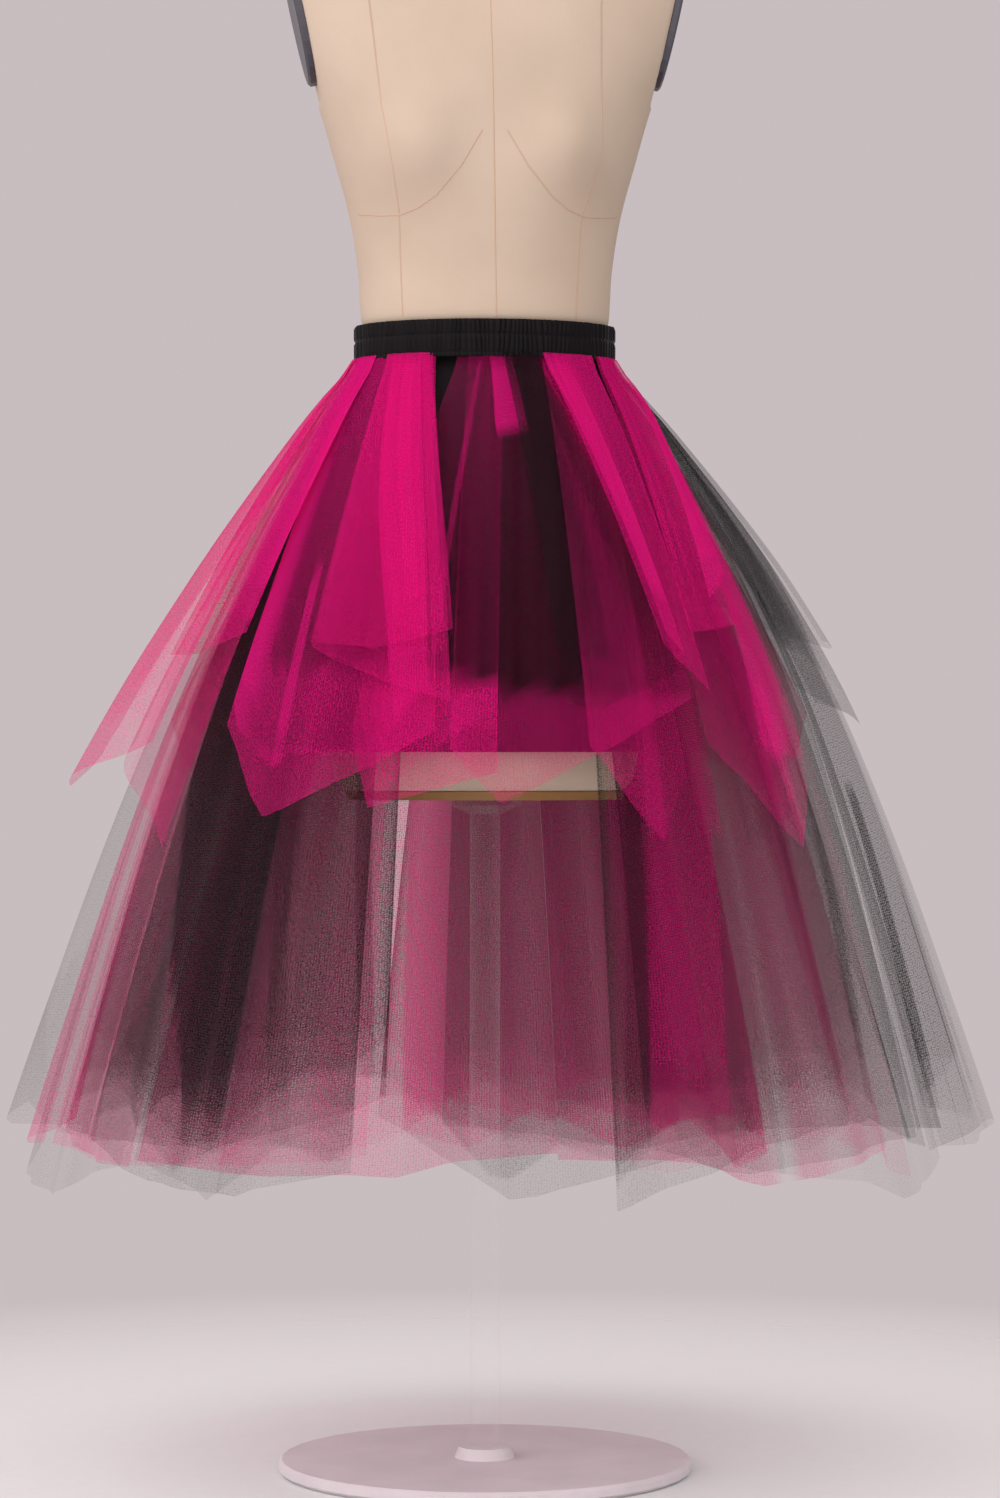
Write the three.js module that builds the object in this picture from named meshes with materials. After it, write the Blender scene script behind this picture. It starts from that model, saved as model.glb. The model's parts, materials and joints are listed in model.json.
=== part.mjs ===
// A high-low tulle skirt on a limbless dress form with a plain stand.
// Millimetres, +Z up. The skirt's front faces -Y. The origin is the middle of the base's underside.
// Angles are in degrees round the skirt, 0 at the front and 90 at +X.
import * as THREE from "three";

// Driving sizes
const BAND_TOP = 1050; // height of the waistband's upper edge over the floor
const BAND_HEIGHT = 34;
const BAND_SIDE = 118.8; // half of the waistband's width, to the valleys of its gathers
const BAND_FRONT = 89.8; // half of its depth
const BAND_WALL = 2.6; // satin casing with the elastic in it
const GATHERS = 39; // gathers of the casing all round
const GATHER_DEPTH = 1.9;
const CLOTH = 1.0; // thickness of a tulle wall
const GAP = 0.3; // between pieces that touch on the real thing
const FORM_BOTTOM = 625; // height of the form's lower edge over the floor
const RIM_HEIGHT = 8; // board under the form
const PLATE_HEIGHT = 7; // armhole plates
const POLE_RADIUS = 14;
const BASE_RADIUS = 190;
const BASE_HEIGHT = 12;
const BOSS_HEIGHT = 10; // raised middle of the base that takes the pole

const SKIRT_TOP = BAND_TOP - BAND_HEIGHT - GAP - CLOTH / 2; // the panels hang from here, and drops start here
const POLE_TOP = FORM_BOTTOM - RIM_HEIGHT - 2 * GAP;

// Finishes, one for each kind of material
const finishes = {
  satin: { color: 0x17140f, roughness: 0.45, metalness: 0 },
  lining: { color: 0x0b080a, roughness: 0.8, metalness: 0 },
  pink: { color: 0xd81f78, roughness: 0.75, metalness: 0 },
  black: { color: 0x2b282a, roughness: 0.8, metalness: 0 },
  linen: { color: 0xdcc0a4, roughness: 0.85, metalness: 0 },
  armhole: { color: 0x4a4850, roughness: 0.5, metalness: 0 },
  rim: { color: 0x8a5a2c, roughness: 0.6, metalness: 0 },
  steel: { color: 0xc7bcbd, roughness: 0.6, metalness: 0 },
  acrylic: { color: 0xe6ecee, roughness: 0.05, metalness: 0 },
};

// How far layer 0 of the skirt reaches to its left, its right, the front and the back, at each drop
const skirtSections = [
  { drop: 0, left: 108.4, right: 108.4, front: 78.4, back: 78.4 },
  { drop: 30, left: 129, right: 133, front: 100, back: 101 },
  { drop: 60, left: 146, right: 155, front: 119, back: 122 },
  { drop: 140, left: 185, right: 206, front: 164, back: 172 },
  { drop: 200, left: 211, right: 239, front: 194, back: 206 },
  { drop: 300, left: 249, right: 281, front: 238, back: 258 },
  { drop: 430, left: 287, right: 319, front: 284, back: 312 },
  { drop: 570, left: 320, right: 351, front: 326, back: 360 },
  { drop: 700, left: 348, right: 378, front: 362, back: 398 },
  { drop: 860, left: 378, right: 408, front: 400, back: 436 },
];

// The opaque lining under the tulle, in the same columns
const liningSections = [
  { drop: 0, side: 108.4, front: 78.4, back: 78.4 },
  { drop: 30, side: 128, front: 96, back: 98 },
  { drop: 86, side: 154, front: 110, back: 122 },
  { drop: 165, side: 171, front: 114, back: 134 },
  { drop: 260, side: 166, front: 116, back: 130 },
  { drop: 355, side: 156, front: 116, back: 124 },
];
const LINING_HEM = 355;
const LINING_FOLDS = 11;
const LINING_FOLD_DEPTH = 4;

// The dress form's half width, front and back, at each height over the floor
const formSections = [
  { height: 625, side: 129, front: 89, back: 91 },
  { height: 640, side: 138, front: 97, back: 98 },
  { height: 700, side: 146, front: 103, back: 108 },
  { height: 780, side: 157, front: 105, back: 118 },
  { height: 850, side: 163, front: 103, back: 124 },
  { height: 930, side: 148, front: 98, back: 113 },
  { height: 985, side: 123, front: 88, back: 91 },
  { height: 1016, side: 106, front: 77, back: 77 },
  { height: 1033, side: 105.5, front: 77, back: 76 },
  { height: 1046, side: 111, front: 83, back: 82 },
  { height: 1056, side: 114, front: 88, back: 84 },
  { height: 1102, side: 117, front: 91, back: 85 },
  { height: 1152, side: 125, front: 98, back: 89 },
  { height: 1200, side: 138, front: 103, back: 94 },
  { height: 1260, side: 156, front: 104, back: 99 },
  { height: 1310, side: 178, front: 98, back: 103 },
  { height: 1350, side: 193, front: 88, back: 103 },
  { height: 1385, side: 192, front: 73, back: 98 },
  { height: 1412, side: 168, front: 61, back: 85 },
  { height: 1430, side: 120, front: 53, back: 71 },
  { height: 1445, side: 74, front: 48, back: 58 },
  { height: 1465, side: 60, front: 48, back: 52 },
  { height: 1490, side: 57, front: 50, back: 52 },
];
const FORM_TOP = 1490;

// The general bust of the form: two soft rises, mirrored across the front
const bust = { across: 74, height: 1204, wide: 40, high: 46, rise: 24 };

// The form's sides are cut by flat planes that lean outwards, where the armhole plates lie
const armhole = { height: 1334, low: 1255, lowSide: 151, lean: 0.22, halfDepth: 42, halfHeight: 64 };

// Waves that all the tulle shares: how many go round, their share of the depth, and where they start
const sharedWaves = [
  { count: 9, share: 0.6, start: 20 },
  { count: 14, share: 0.4, start: 75 },
];
const WAVE_DEPTH = 20; // of the shared waves together, at WAVE_DROP
const WAVE_DROP = 700;

// Layers lie this far apart at the waist, and further with each millimetre of drop
const LAYER_STEP = 1.9;
const LAYER_SPREAD = 0.033;
const FOLD_LIMIT = 0.3; // a panel's own folds stay within this share of the spread

// The tulle panels, a row for each square or strip.
// top and hem: the angles of its left and right edges at the waist and at the hem.
// drops: how far down its left edge, its lowest corner and its right edge reach.
// corner: where along the hem the lowest corner is, 0 at the left edge and 1 at the right.
// folds: its own folds across. turn: where the first of them starts.
const panelColumns = ["name", "net", "layer", "top", "hem", "drops", "corner", "folds", "turn"];
const shortPanels = [
  ["pink_front_left_top", "pink", 7, [-58, -35], [-34.5, -10], [260, 266, 250], 0.45, 2, 40],
  ["pink_front_left_under", "pink", 6, [-58, -34], [-35, -10.5], [264, 292, 312], 0.5, 2, 200],
  ["pink_front_left_main", "pink", 5, [-80, -33], [-49, -12.5], [331, 410, 337], 0.32, 3, 90],
  ["pink_side_left", "pink", 7, [-126, -84], [-106, -60], [330, 386, 346], 0.32, 3, 10],
  ["pink_side_left_strip", "pink", 4, [-100, -86], [-88, -57], [345, 438, 262], 0.9, 1, 259],
  ["pink_side_left_top", "pink", 6, [-96, -66], [-74, -51], [268, 268, 250], 0.5, 2, 300],
  ["pink_front_middle", "pink", 4, [-20, 6], [-27, -3], [340, 402, 372], 0.2, 2, 120],
  ["pink_front_centre", "pink", 5, [-14, 27], [-10, 30], [352, 398, 308], 0.18, 3, 30],
  ["black_front_centre", "black", 6, [6, 24], [8, 28.3], [314, 319, 284], 0.25, 2, 200],
  ["pink_front_right_strip", "pink", 7, [28, 57], [25.5, 31], [262, 282, 304], 0.5, 1, 60],
  ["pink_front_right_under", "pink", 4, [29, 54], [12, 27], [349, 430, 376], 0.62, 2, 250],
  ["pink_side_right", "pink", 6, [61, 80], [29.3, 46.5], [346, 436, 324], 0.6, 2, 180],
  ["pink_side_right_top", "pink", 7, [62, 84], [32, 43], [252, 248, 240], 0.5, 2, 150],
  ["black_side_right_top", "black", 5, [75, 112], [54, 88], [246, 262, 252], 0.55, 3, 110],
  ["black_side_right", "black", 4, [80, 124], [56, 104], [290, 330, 308], 0.4, 3, 20],
  ["pink_back_right", "pink", 6, [112, 146], [116, 143], [318, 392, 344], 0.5, 3, 70],
  ["pink_back_centre", "pink", 7, [146, 188], [148, 190], [330, 404, 346], 0.45, 3, 160],
  ["pink_back_left", "pink", 6, [192, 232], [197, 238], [346, 398, 326], 0.55, 3, 260],
  ["black_back_right", "black", 4, [127, 170], [121, 166], [322, 372, 338], 0.5, 3, 210],
  ["black_back_left", "black", 4, [190, 234], [194, 242], [330, 366, 318], 0.6, 3, 330],
].map(namedRow);
const longPanels = [
  ["black_outer_front_left", "black", 3, [-77, -46], [-58.5, -20], [692, 728, 700], 0.68, 4, 15],
  ["black_outer_left", "black", 3, [-113, -80], [-99, -60.5], [716, 676, 690], 0.24, 4, 95],
  ["black_outer_back_left", "black", 3, [-150, -115], [-134, -101], [760, 792, 724], 0.4, 4, 210],
  ["black_outer_back_edge", "black", 3, [-176, -152], [-168, -136], [742, 806, 766], 0.6, 3, 130],
  ["black_outer_back_centre", "black", 3, [145, 182], [146, 188.5], [772, 818, 738], 0.62, 4, 40],
  ["black_outer_back_right", "black", 3, [109, 143], [104, 144], [742, 800, 768], 0.4, 4, 280],
  ["black_outer_right", "black", 3, [77, 107], [60.5, 102], [704, 690, 736], 0.35, 4, 170],
  ["black_outer_front_right", "black", 3, [46, 75], [9.5, 58.5], [726, 664, 702], 0.66, 5, 320],
  ["pink_long_front_left", "pink", 2, [-84, -43], [-76, -19.5], [702, 714, 686], 0.5, 5, 75],
  ["pink_long_left", "pink", 2, [-140, -86], [-132, -78], [762, 700, 700], 0.6, 5, 190],
  ["pink_long_back", "pink", 2, [164, 218], [166, 226], [770, 796, 766], 0.35, 5, 290],
  ["pink_long_back_right", "pink", 2, [117, 162], [116, 164], [744, 790, 772], 0.4, 5, 55],
  ["pink_long_front_right", "pink", 2, [42, 84], [13, 61], [700, 686, 726], 0.5, 5, 140],
  ["black_inner_front_left", "black", 1, [-88, -40], [-80, -18.5], [690, 700, 640], 0.6, 5, 230],
  ["black_inner_left", "black", 1, [-168, -90], [-166, -82], [758, 736, 694], 0.5, 6, 100],
  ["black_inner_back", "black", 1, [90, 183], [90, 181], [716, 772, 744], 0.5, 6, 350],
  ["black_inner_front_right", "black", 1, [38, 88], [16, 88], [688, 672, 712], 0.5, 5, 10],
].map(namedRow);

function namedRow(row) {
  return Object.fromEntries(row.map((value, i) => [panelColumns[i], value]));
}

// Every panel has its rows of points at the same drops, and one more along its hem
const rowDrops = [0, 28, 70, 135, 235, 390];
const LEAST_LAST_ROW = 14; // between the last of them and the hem
const COLUMNS_PER_FOLD = 3;
const LEAST_COLUMNS = { short: 8, long: 12 };

const degrees = THREE.MathUtils.degToRad;

// A point at an angle, a distance from the middle and a height
function place(angle, radius, height) {
  return new THREE.Vector3(radius * Math.sin(degrees(angle)), -radius * Math.cos(degrees(angle)), height);
}

// The value of one column of a table of sections, along a smooth curve through its rows
function along(rows, key, column, at) {
  let i = 0;
  while (i < rows.length - 2 && at > rows[i + 1][key]) i++;
  const span = rows[i + 1][key] - rows[i][key];
  const t = Math.min((at - rows[i][key]) / span, 1);
  const slope = (k) => {
    const low = Math.max(k - 1, 0);
    const high = Math.min(k + 1, rows.length - 1);
    return ((rows[high][column] - rows[low][column]) / (rows[high][key] - rows[low][key])) * span;
  };
  const rise = t * t * (3 - 2 * t);
  const leaving = t * (1 - t) * (1 - t) * slope(i);
  const arriving = t * t * (1 - t) * slope(i + 1);
  return rows[i][column] * (1 - rise) + rows[i + 1][column] * rise + leaving - arriving;
}

// The radius at an angle of an oval whose four quarters may differ
function ovalRadius(angle, { left, right, front, back }) {
  const sine = Math.sin(degrees(angle));
  const cosine = Math.cos(degrees(angle));
  return 1 / Math.hypot(sine / (sine > 0 ? right : left), cosine / (cosine > 0 ? front : back));
}

// An oval with like sides
function evenOval(side, front, back) {
  return { left: side, right: side, front, back };
}

// The oval of the form or the lining, from a table whose sides are alike
function evenSection(rows, key, at) {
  return evenOval(...["side", "front", "back"].map((column) => along(rows, key, column, at)));
}

// The oval of the skirt's layer 0 at a drop
function skirtSection(drop) {
  const sides = ["left", "right", "front", "back"];
  const [left, right, front, back] = sides.map((side) => along(skirtSections, "drop", side, drop));
  return { left, right, front, back };
}

// The radius of a layer of tulle at an angle and a drop, with the waves that all layers share
function skirtRadius(angle, drop, layer) {
  const depth = WAVE_DEPTH * Math.max(drop / WAVE_DROP, 0) ** 1.3;
  const heightOf = ({ count, share, start }) => share * Math.cos(degrees(count * angle + start));
  const wave = sharedWaves.map(heightOf).reduce((sum, height) => sum + height);
  const outwards = layer * (LAYER_STEP + LAYER_SPREAD * drop);
  return ovalRadius(angle, skirtSection(drop)) + depth * wave + outwards;
}

// How far a panel's edges have swung from their angles at the waist, if they are straight seen from above
function swing(drop) {
  const reach = (side, at) => along(skirtSections, "drop", side, at);
  const mean = (at) => (reach("right", at) + reach("front", at)) / 2;
  return 1 - mean(0) / mean(drop);
}

// How far down the hem is, at a share of the way across a panel
function hemDrop(panel, across) {
  const [left, low, right] = panel.drops;
  if (across < panel.corner) return THREE.MathUtils.lerp(left, low, across / panel.corner);
  return THREE.MathUtils.lerp(low, right, (across - panel.corner) / (1 - panel.corner));
}

// A point in the middle of a panel's wall, at a share of the way across it and a drop
function panelPoint(panel, across, drop) {
  const reach = swing(drop) / swing((panel.drops[0] + panel.drops[2]) / 2);
  const atTop = THREE.MathUtils.lerp(panel.top[0], panel.top[1], across);
  const atHem = THREE.MathUtils.lerp(panel.hem[0], panel.hem[1], across);
  const angle = THREE.MathUtils.lerp(atTop, atHem, reach);
  const fold = Math.cos(degrees(360 * panel.folds * across + panel.turn));
  const radius = skirtRadius(angle, drop, panel.layer) + FOLD_LIMIT * LAYER_SPREAD * drop * fold;
  return place(angle, radius, SKIRT_TOP - drop);
}

// The middle of a wall moved out by half of its thickness, or in when the side is -1
function wallPoint(point, across, drop, side) {
  const [little, short] = [0.004, 1.5];
  const sideways = point(across + little, drop).sub(point(across - little, drop));
  const downwards = point(across, drop + short).sub(point(across, Math.max(drop - short, 0)));
  return point(across, drop).addScaledVector(downwards.cross(sideways).normalize(), (side * CLOTH) / 2);
}

// A closed body from a grid of outer and inner points that share their rims
function closedBody(outer, inner, round) {
  const columns = outer.length;
  const rows = outer[0].length;
  const positions = [...outer.flat(), ...inner.flat()].flatMap((p) => p.toArray());
  const index = [];
  const at = (side, i, j) => side * columns * rows + (i % columns) * rows + j;
  const quad = (a, b, c, d) => index.push(a, b, c, a, c, d);
  const spans = round ? columns : columns - 1;
  for (let i = 0; i < spans; i++) {
    for (let j = 0; j < rows - 1; j++) {
      quad(at(0, i, j), at(0, i, j + 1), at(0, i + 1, j + 1), at(0, i + 1, j));
      quad(at(1, i, j), at(1, i + 1, j), at(1, i + 1, j + 1), at(1, i, j + 1));
    }
    quad(at(0, i, 0), at(0, i + 1, 0), at(1, i + 1, 0), at(1, i, 0));
    quad(at(0, i, rows - 1), at(1, i, rows - 1), at(1, i + 1, rows - 1), at(0, i + 1, rows - 1));
  }
  if (!round) {
    const last = columns - 1;
    for (let j = 0; j < rows - 1; j++) {
      quad(at(0, 0, j), at(1, 0, j), at(1, 0, j + 1), at(0, 0, j + 1));
      quad(at(0, last, j), at(0, last, j + 1), at(1, last, j + 1), at(1, last, j));
    }
  }
  return bodyFrom(positions, index);
}

function bodyFrom(positions, index) {
  const geometry = new THREE.BufferGeometry();
  geometry.setAttribute("position", new THREE.Float32BufferAttribute(positions, 3));
  geometry.setIndex(index);
  geometry.computeVertexNormals();
  return geometry;
}

// A closed ring-shaped body from its cross-sections, one after another round the skirt
function roundFromSections(sections) {
  const around = sections.length;
  const count = sections[0].length;
  const index = [];
  for (let i = 0; i < around; i++) {
    const next = (i + 1) % around;
    for (let j = 0; j < count; j++) {
      const k = (j + 1) % count;
      const [a, b, c, d] = [i * count + j, i * count + k, next * count + k, next * count + j];
      index.push(a, b, c, a, c, d);
    }
  }
  return bodyFrom(sections.flat().flatMap((p) => p.toArray()), index);
}

// A closed body from rings of points stacked upwards, with a flat cap at each end
function stackedRings(rings) {
  const count = rings[0].length;
  const centre = (ring) => ring.reduce((sum, p) => sum.add(p), new THREE.Vector3()).divideScalar(count);
  const low = centre(rings[0]);
  const high = centre(rings[rings.length - 1]);
  const positions = [...rings.flat(), low, high].flatMap((p) => p.toArray());
  const index = [];
  const lowest = rings.length * count;
  for (let i = 0; i < count; i++) {
    const next = (i + 1) % count;
    for (let j = 0; j < rings.length - 1; j++) {
      const [a, b] = [j * count + i, j * count + next];
      index.push(a, b, b + count, a, b + count, a + count);
    }
    const top = (rings.length - 1) * count;
    index.push(lowest, next, i, lowest + 1, top + i, top + next);
  }
  return bodyFrom(positions, index);
}

function shares(count) {
  return Array.from({ length: count + 1 }, (_, i) => i / count);
}

// Shares across a panel that meet its lowest corner exactly
function sharesAcross(panel, count) {
  const before = Math.max(1, Math.round(count * panel.corner));
  const left = shares(before).map((s) => s * panel.corner);
  const right = shares(Math.max(1, count - before)).map((s) => panel.corner + s * (1 - panel.corner));
  return [...left, ...right.slice(1)];
}

function panelBody(panel, least) {
  const columns = sharesAcross(panel, Math.max(least, COLUMNS_PER_FOLD * panel.folds));
  const lastRow = Math.min(...panel.drops) - LEAST_LAST_ROW;
  const rows = rowDrops.filter((drop) => drop <= lastRow);
  const point = (across, drop) => panelPoint(panel, across, drop);
  const dropsAt = (across) => [...rows, hemDrop(panel, across)];
  const wall = (side) =>
    columns.map((across) => dropsAt(across).map((drop) => wallPoint(point, across, drop, side)));
  return closedBody(wall(1), wall(-1), false);
}

// The opaque lining, a closed tube with soft folds
function liningBody() {
  const columns = 4 * LINING_FOLDS;
  const point = (around, drop) => {
    const angle = 360 * around;
    const fold = LINING_FOLD_DEPTH * (drop / LINING_HEM) * Math.cos(degrees(LINING_FOLDS * angle + 35));
    const plain = ovalRadius(angle, evenSection(liningSections, "drop", drop));
    return place(angle, plain + fold, SKIRT_TOP - drop);
  };
  const rows = [...rowDrops.filter((drop) => drop < LINING_HEM), LINING_HEM];
  const wall = (side) =>
    shares(columns)
      .slice(0, columns)
      .map((around) => rows.map((drop) => wallPoint(point, around, drop, side)));
  return closedBody(wall(1), wall(-1), true);
}

// The waistband: a plain inside, and an outside gathered on two rows of stitches.
// share: the part of the gathers' depth at each height below the band's upper edge
const bandRows = [
  { below: 0, share: 0.9 },
  { below: 13.5, share: 0.1 },
  { below: 22, share: 0.7 },
  { below: 30.5, share: 0.1 },
  { below: 34, share: 0.9 },
];

function bandBody() {
  const columns = 2 * GATHERS;
  const section = (i) => {
    const angle = (360 * i) / columns;
    const plain = ovalRadius(angle, evenOval(BAND_SIDE, BAND_FRONT, BAND_FRONT));
    const peak = i % 2 === 0 ? GATHER_DEPTH : 0;
    const outer = bandRows.map((row) => place(angle, plain + peak * row.share, BAND_TOP - row.below));
    const inner = [BAND_HEIGHT, 0].map((below) => place(angle, plain - BAND_WALL, BAND_TOP - below));
    return [...outer, ...inner];
  };
  return roundFromSections(Array.from({ length: columns }, (_, i) => section(i)));
}

// The farthest that the form reaches sideways at a height, up to the armhole planes
function armholeSide(height) {
  const plane = armhole.lowSide + (height - armhole.low) * armhole.lean;
  return height < armhole.low ? Infinity : plane;
}

function formPoint(angle, height) {
  const point = place(angle, ovalRadius(angle, evenSection(formSections, "height", height)), height);
  const offCentre = (Math.abs(point.x) - bust.across) / bust.wide;
  const offHeight = (height - bust.height) / bust.high;
  if (point.y < 0) point.y -= bust.rise * Math.exp(-(offCentre ** 2) - offHeight ** 2);
  const limit = armholeSide(height);
  point.x = THREE.MathUtils.clamp(point.x, -limit, limit);
  return point;
}

function formBody() {
  const columns = 32;
  const heights = [
    625, 632, 645, 690, 760, 850, 915, 960, 990, 1016, 1033, 1046, 1058, 1100, 1145, 1180, 1206, 1232,
    1262, 1300, 1345, 1378, 1400, 1415, 1428, 1442, 1462, 1490,
  ];
  const angles = Array.from({ length: columns }, (_, i) => (360 * (i + 0.5)) / columns);
  const ring = (height) => angles.map((angle) => formPoint(angle, height));
  return stackedRings(heights.map(ring));
}

// A board of the same outline as the form's lower edge
function rimBody() {
  const { side, front, back } = formSections[0];
  const ring = (height, inset) =>
    Array.from({ length: 32 }, (_, i) => {
      const angle = (360 * (i + 0.5)) / 32;
      return place(angle, ovalRadius(angle, evenOval(side, front, back)) - inset, height);
    });
  const top = FORM_BOTTOM - GAP;
  return stackedRings([ring(top - RIM_HEIGHT, 2), ring(top - 1.5, 0), ring(top, 0)]);
}

// An oval plate on the armhole plane, on the side that the sign gives
function plateBody(sign) {
  const tilt = Math.atan(armhole.lean);
  const out = new THREE.Vector3(sign * Math.cos(tilt), 0, -Math.sin(tilt));
  const up = new THREE.Vector3(sign * Math.sin(tilt), 0, Math.cos(tilt));
  const middle = new THREE.Vector3(sign * armholeSide(armhole.height), 2, armhole.height);
  const ring = (distance, inset) =>
    Array.from({ length: 28 }, (_, i) => {
      const turn = (sign * 2 * Math.PI * i) / 28;
      return middle
        .clone()
        .addScaledVector(out, distance)
        .addScaledVector(new THREE.Vector3(0, 1, 0), (armhole.halfDepth - inset) * Math.cos(turn))
        .addScaledVector(up, (armhole.halfHeight - inset) * Math.sin(turn));
    });
  return stackedRings([ring(GAP, 0), ring(GAP + PLATE_HEIGHT - 2, 0), ring(GAP + PLATE_HEIGHT, 2.5)]);
}

// A body turned round the Z axis from a profile of radius and height
function turned(profile, columns) {
  const points = profile.map(([radius, height]) => new THREE.Vector2(radius, height));
  const angles = Array.from({ length: columns }, (_, i) => (360 * i) / columns);
  return stackedRings(points.map((p) => angles.map((angle) => place(angle, p.x, p.y))));
}

function neckCapBody() {
  const [rim, rise] = [56, 15];
  const low = FORM_TOP + GAP;
  const ring = (inset, height) =>
    Array.from({ length: 32 }, (_, i) => {
      const angle = (360 * (i + 0.5)) / 32;
      return place(angle, ovalRadius(angle, evenOval(rim, rim - 6, rim - 4)) * inset, low + height);
    });
  const dome = [ring(0.9, 0.68 * rise), ring(0.6, 0.9 * rise), ring(0.25, rise)];
  return stackedRings([ring(1, 0), ring(1, 5), ...dome]);
}

function poleBody() {
  const flange = { radius: 34, height: 5 };
  const foot = BASE_HEIGHT + BOSS_HEIGHT + GAP;
  return turned(
    [
      [POLE_RADIUS, foot],
      [POLE_RADIUS, POLE_TOP - flange.height - 8],
      [flange.radius, POLE_TOP - flange.height],
      [flange.radius, POLE_TOP],
    ],
    28,
  );
}

function baseBody() {
  const boss = POLE_RADIUS + 10;
  return turned(
    [
      [BASE_RADIUS - 3, 0],
      [BASE_RADIUS, 3],
      [BASE_RADIUS, BASE_HEIGHT - 3],
      [BASE_RADIUS - 3, BASE_HEIGHT],
      [boss + 4, BASE_HEIGHT],
      [boss, BASE_HEIGHT + BOSS_HEIGHT],
    ],
    40,
  );
}

const object = new THREE.Group();
object.name = "tulle_skirt";

function add(name, geometry, finish) {
  const mesh = new THREE.Mesh(geometry, new THREE.MeshStandardMaterial(finishes[finish]));
  mesh.name = name;
  mesh.material.name = finish;
  object.add(mesh);
}

add("base_plate", baseBody(), "steel");
add("pole", poleBody(), "acrylic");
add("form_rim", rimBody(), "rim");
add("form_torso", formBody(), "linen");
add("form_neck_cap", neckCapBody(), "linen");
add("form_armhole_left", plateBody(-1), "armhole");
add("form_armhole_right", plateBody(1), "armhole");
add("waistband", bandBody(), "satin");
add("lining_skirt", liningBody(), "lining");
for (const panel of longPanels) add(panel.name, panelBody(panel, LEAST_COLUMNS.long), panel.net);
for (const panel of shortPanels) add(panel.name, panelBody(panel, LEAST_COLUMNS.short), panel.net);

export default object;
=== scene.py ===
# Looks of a high-low tulle skirt on a dress form: sheer net panels, a gathered satin band and the form.
# Lengths are in millimetres and angles in degrees round the form, 0 at the front and 90 at the right,
# as in the solids. A drop is measured down from SKIRT_TOP. place() turns them into metres.
import json
import math

import bpy
import numpy as np
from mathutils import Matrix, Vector


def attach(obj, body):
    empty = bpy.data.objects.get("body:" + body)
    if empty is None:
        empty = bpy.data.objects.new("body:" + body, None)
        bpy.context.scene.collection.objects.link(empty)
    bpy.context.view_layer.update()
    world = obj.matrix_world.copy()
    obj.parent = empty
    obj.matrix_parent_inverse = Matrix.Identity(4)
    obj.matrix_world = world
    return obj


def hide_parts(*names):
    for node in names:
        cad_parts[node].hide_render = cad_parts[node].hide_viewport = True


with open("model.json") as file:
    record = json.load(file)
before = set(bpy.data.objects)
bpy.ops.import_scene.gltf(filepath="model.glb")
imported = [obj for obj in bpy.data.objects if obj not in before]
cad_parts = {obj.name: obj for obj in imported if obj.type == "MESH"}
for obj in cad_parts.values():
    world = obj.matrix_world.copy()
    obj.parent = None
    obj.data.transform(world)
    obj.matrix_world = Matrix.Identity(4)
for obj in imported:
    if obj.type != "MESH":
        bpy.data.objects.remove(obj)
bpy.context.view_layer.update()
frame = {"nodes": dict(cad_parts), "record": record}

MM = 0.001
BAND_TOP = 1050.0
BAND_HEIGHT = 34.0
BAND_SIDE = 118.8
BAND_FRONT = 89.8
BAND_WALL = 2.5
STITCH_ROWS = ((13.8, 1.1), (30.4, 1.0))  # how far below the band's top each lies, and half its width
# The rows of points of the band's outside, as distances below its top: closer together near the stitches
BAND_ROWS = (
    0, 0.6, 2, 4.5, 7.5, 10.5, 12.6, 13.5, 14.4, 16.5, 19.5, 22.5, 26, 28.8, 30.2, 31, 32.4, 33.6, 34,
)
STITCH_PRESS = 0.85  # the share of the gathers that a row of stitches presses flat
GATHERS = 132
GATHER_DEPTH = 1.5
SEAM_GAP = 0.3
CLOTH = 1.0  # the solids' wall
SKIRT_TOP = BAND_TOP - BAND_HEIGHT - SEAM_GAP - CLOTH / 2
TUCK = 5  # how far the cloth goes up behind the band

# How far layer 0 of the skirt reaches to its left, its right, the front and the back, at each drop
SKIRT_SECTIONS = {
    "drop": (0, 30, 60, 140, 200, 300, 430, 570, 700, 860),
    "left": (108.4, 129, 146, 185, 211, 249, 287, 320, 348, 378),
    "right": (108.4, 133, 155, 206, 239, 281, 319, 351, 378, 408),
    "front": (78.4, 100, 119, 164, 194, 238, 284, 326, 362, 400),
    "back": (78.4, 101, 122, 172, 206, 258, 312, 360, 398, 436),
}
LINING_SECTIONS = {
    "drop": (0, 30, 86, 165, 260, 355),
    "side": (108.4, 128, 154, 171, 166, 156),
    "front": (78.4, 96, 110, 114, 116, 116),
    "back": (78.4, 98, 122, 134, 130, 124),
}
LINING_HEM = 355
LINING_FOLDS = 11
LINING_FOLD_DEPTH = 4
LINING_CREASES = 37
LINING_CREASE_DEPTH = 0.8

# Waves that all the tulle shares: how many go round, their share of the depth, and where they start
SHARED_WAVES = ((9, 0.6, 20), (14, 0.4, 75))
WAVE_DEPTH = 20  # of the shared waves together, at WAVE_DROP
WAVE_DROP = 700
# Layers lie this far apart at the waist, and further with each millimetre of drop
LAYER_STEP = 1.9
LAYER_SPREAD = 0.033
FOLD_LIMIT = 0.3  # a panel's own folds stay within this share of the spread

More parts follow.
